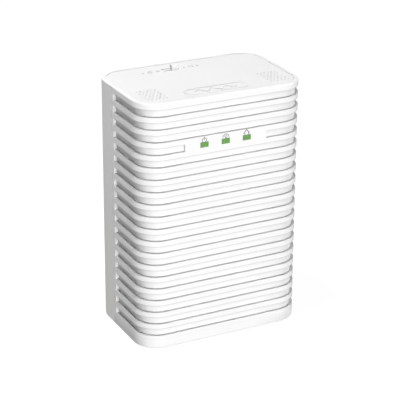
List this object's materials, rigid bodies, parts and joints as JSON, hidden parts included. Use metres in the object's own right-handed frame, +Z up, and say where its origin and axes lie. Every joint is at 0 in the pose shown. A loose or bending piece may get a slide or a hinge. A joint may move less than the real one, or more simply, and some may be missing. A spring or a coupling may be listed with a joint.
{
  "type": "powerline adapter",
  "caption": "Plug-in powerline network adapter: upright box with ribbed wrap-round front, inset top panel with slide switch, three lamp windows, jack below and mains plug behind.",
  "frame": {"origin": "midway between the two mains pins, on the seating face of the plug", "axes": "+Z up as plugged in; +Y out of the plug along the pins; -Y is the ribbed front; +X is to the right seen from the front"},
  "size_m": [0.066, 0.0778, 0.0969],
  "materials": {
    "shell_white": "fine satin moulded texture",
    "panel_white": "fine spark-eroded texture",
    "plug_white": "satin",
    "knob_white": "semi-gloss",
    "screw_steel": "zinc plated",
    "nickel_brass": "nickel plated brass",
    "spring_steel": "tinned spring steel",
    "tin_steel": "tin plated sheet",
    "black_nylon": "satin",
    "jack_black": "satin",
    "plunger_plastic": "satin",
    "lamp_green": "translucent acrylic, lit green",
    "led_body": "clear encapsulant",
    "board_green": "solder mask",
    "board_brown": "bare laminate",
    "chip_black": "moulded epoxy",
    "thermal_grey": "soft pad",
    "fin_aluminium": "anodised",
    "gold_contact": "gold flash",
    "antenna_foil": "etched foil on laminate",
    "cable_grey": "satin jacket",
    "insulating_film": "fish paper",
    "ferrite": "sintered",
    "coil_tape": "polyester tape",
    "cap_sleeve": "shrink sleeve",
    "film_cap": "moulded case",
    "disc_blue": "epoxy dip",
    "fuse_glass": "glass tube with caps",
    "copper_coil": "enamelled wire"
  },
  "bodies": {
    "housing": {"front_shell": "shell_white", "rear_shell": "shell_white", "top_panel": "panel_white", "plug_block": "plug_white", "housing_screws": "screw_steel", "power_switch_body": "black_nylon", "power_switch_frame": "tin_steel", "live_pin": "nickel_brass", "neutral_pin": "nickel_brass", "earth_clip_upper": "spring_steel", "earth_clip_lower": "spring_steel", "earth_tube": "nickel_brass", "light_pipe": "lamp_green", "led_shroud": "black_nylon", "status_leds": "led_body", "main_board": "board_green", "board_screws": "screw_steel", "soc_chip": "chip_black", "thermal_pad": "thermal_grey", "heatsink": "fin_aluminium", "memory_chip": "chip_black", "radio_shield": "tin_steel", "crystal_can": "tin_steel", "ethernet_magnetics": "chip_black", "ethernet_jack": "jack_black", "jack_shield": "tin_steel", "jack_contacts": "gold_contact", "pair_switch": "black_nylon", "reset_switch": "black_nylon", "antenna_left": "antenna_foil", "antenna_right": "antenna_foil", "antenna_lead_left": "cable_grey", "antenna_lead_right": "cable_grey", "insulator_sheet": "insulating_film", "board_header": "black_nylon", "header_pins": "gold_contact", "power_board": "board_brown", "transformer_core": "ferrite", "transformer_bobbin": "black_nylon", "transformer_winding": "coil_tape", "bulk_capacitor": "cap_sleeve", "output_capacitors": "cap_sleeve", "x_capacitor": "film_cap", "y_capacitor": "disc_blue", "varistor": "disc_blue", "fuse": "fuse_glass", "bridge_rectifier": "chip_black", "line_choke": "copper_coil", "coupling_transformer": "film_cap", "power_inductor": "ferrite", "switching_transistor": "chip_black"},
    "power_slider": {"power_switch_knob": "knob_white", "power_switch_stem": "black_nylon"},
    "pair_key": {"pair_button": "knob_white", "pair_switch_plunger": "plunger_plastic"},
    "reset_key": {"reset_button": "plunger_plastic"}
  },
  "joints": [
    {"name": "power_switch_slide", "type": "slide", "parent": "housing", "child": "power_slider", "axis": [-1, 0, 0], "range_m": [0, 0.003]},
    {"name": "pair_button_press", "type": "slide", "parent": "housing", "child": "pair_key", "axis": [0, 0, 1], "range_m": [0, 0.0005]},
    {"name": "reset_button_press", "type": "slide", "parent": "housing", "child": "reset_key", "axis": [0, 0, 1], "range_m": [0, 0.0003]}
  ]
}
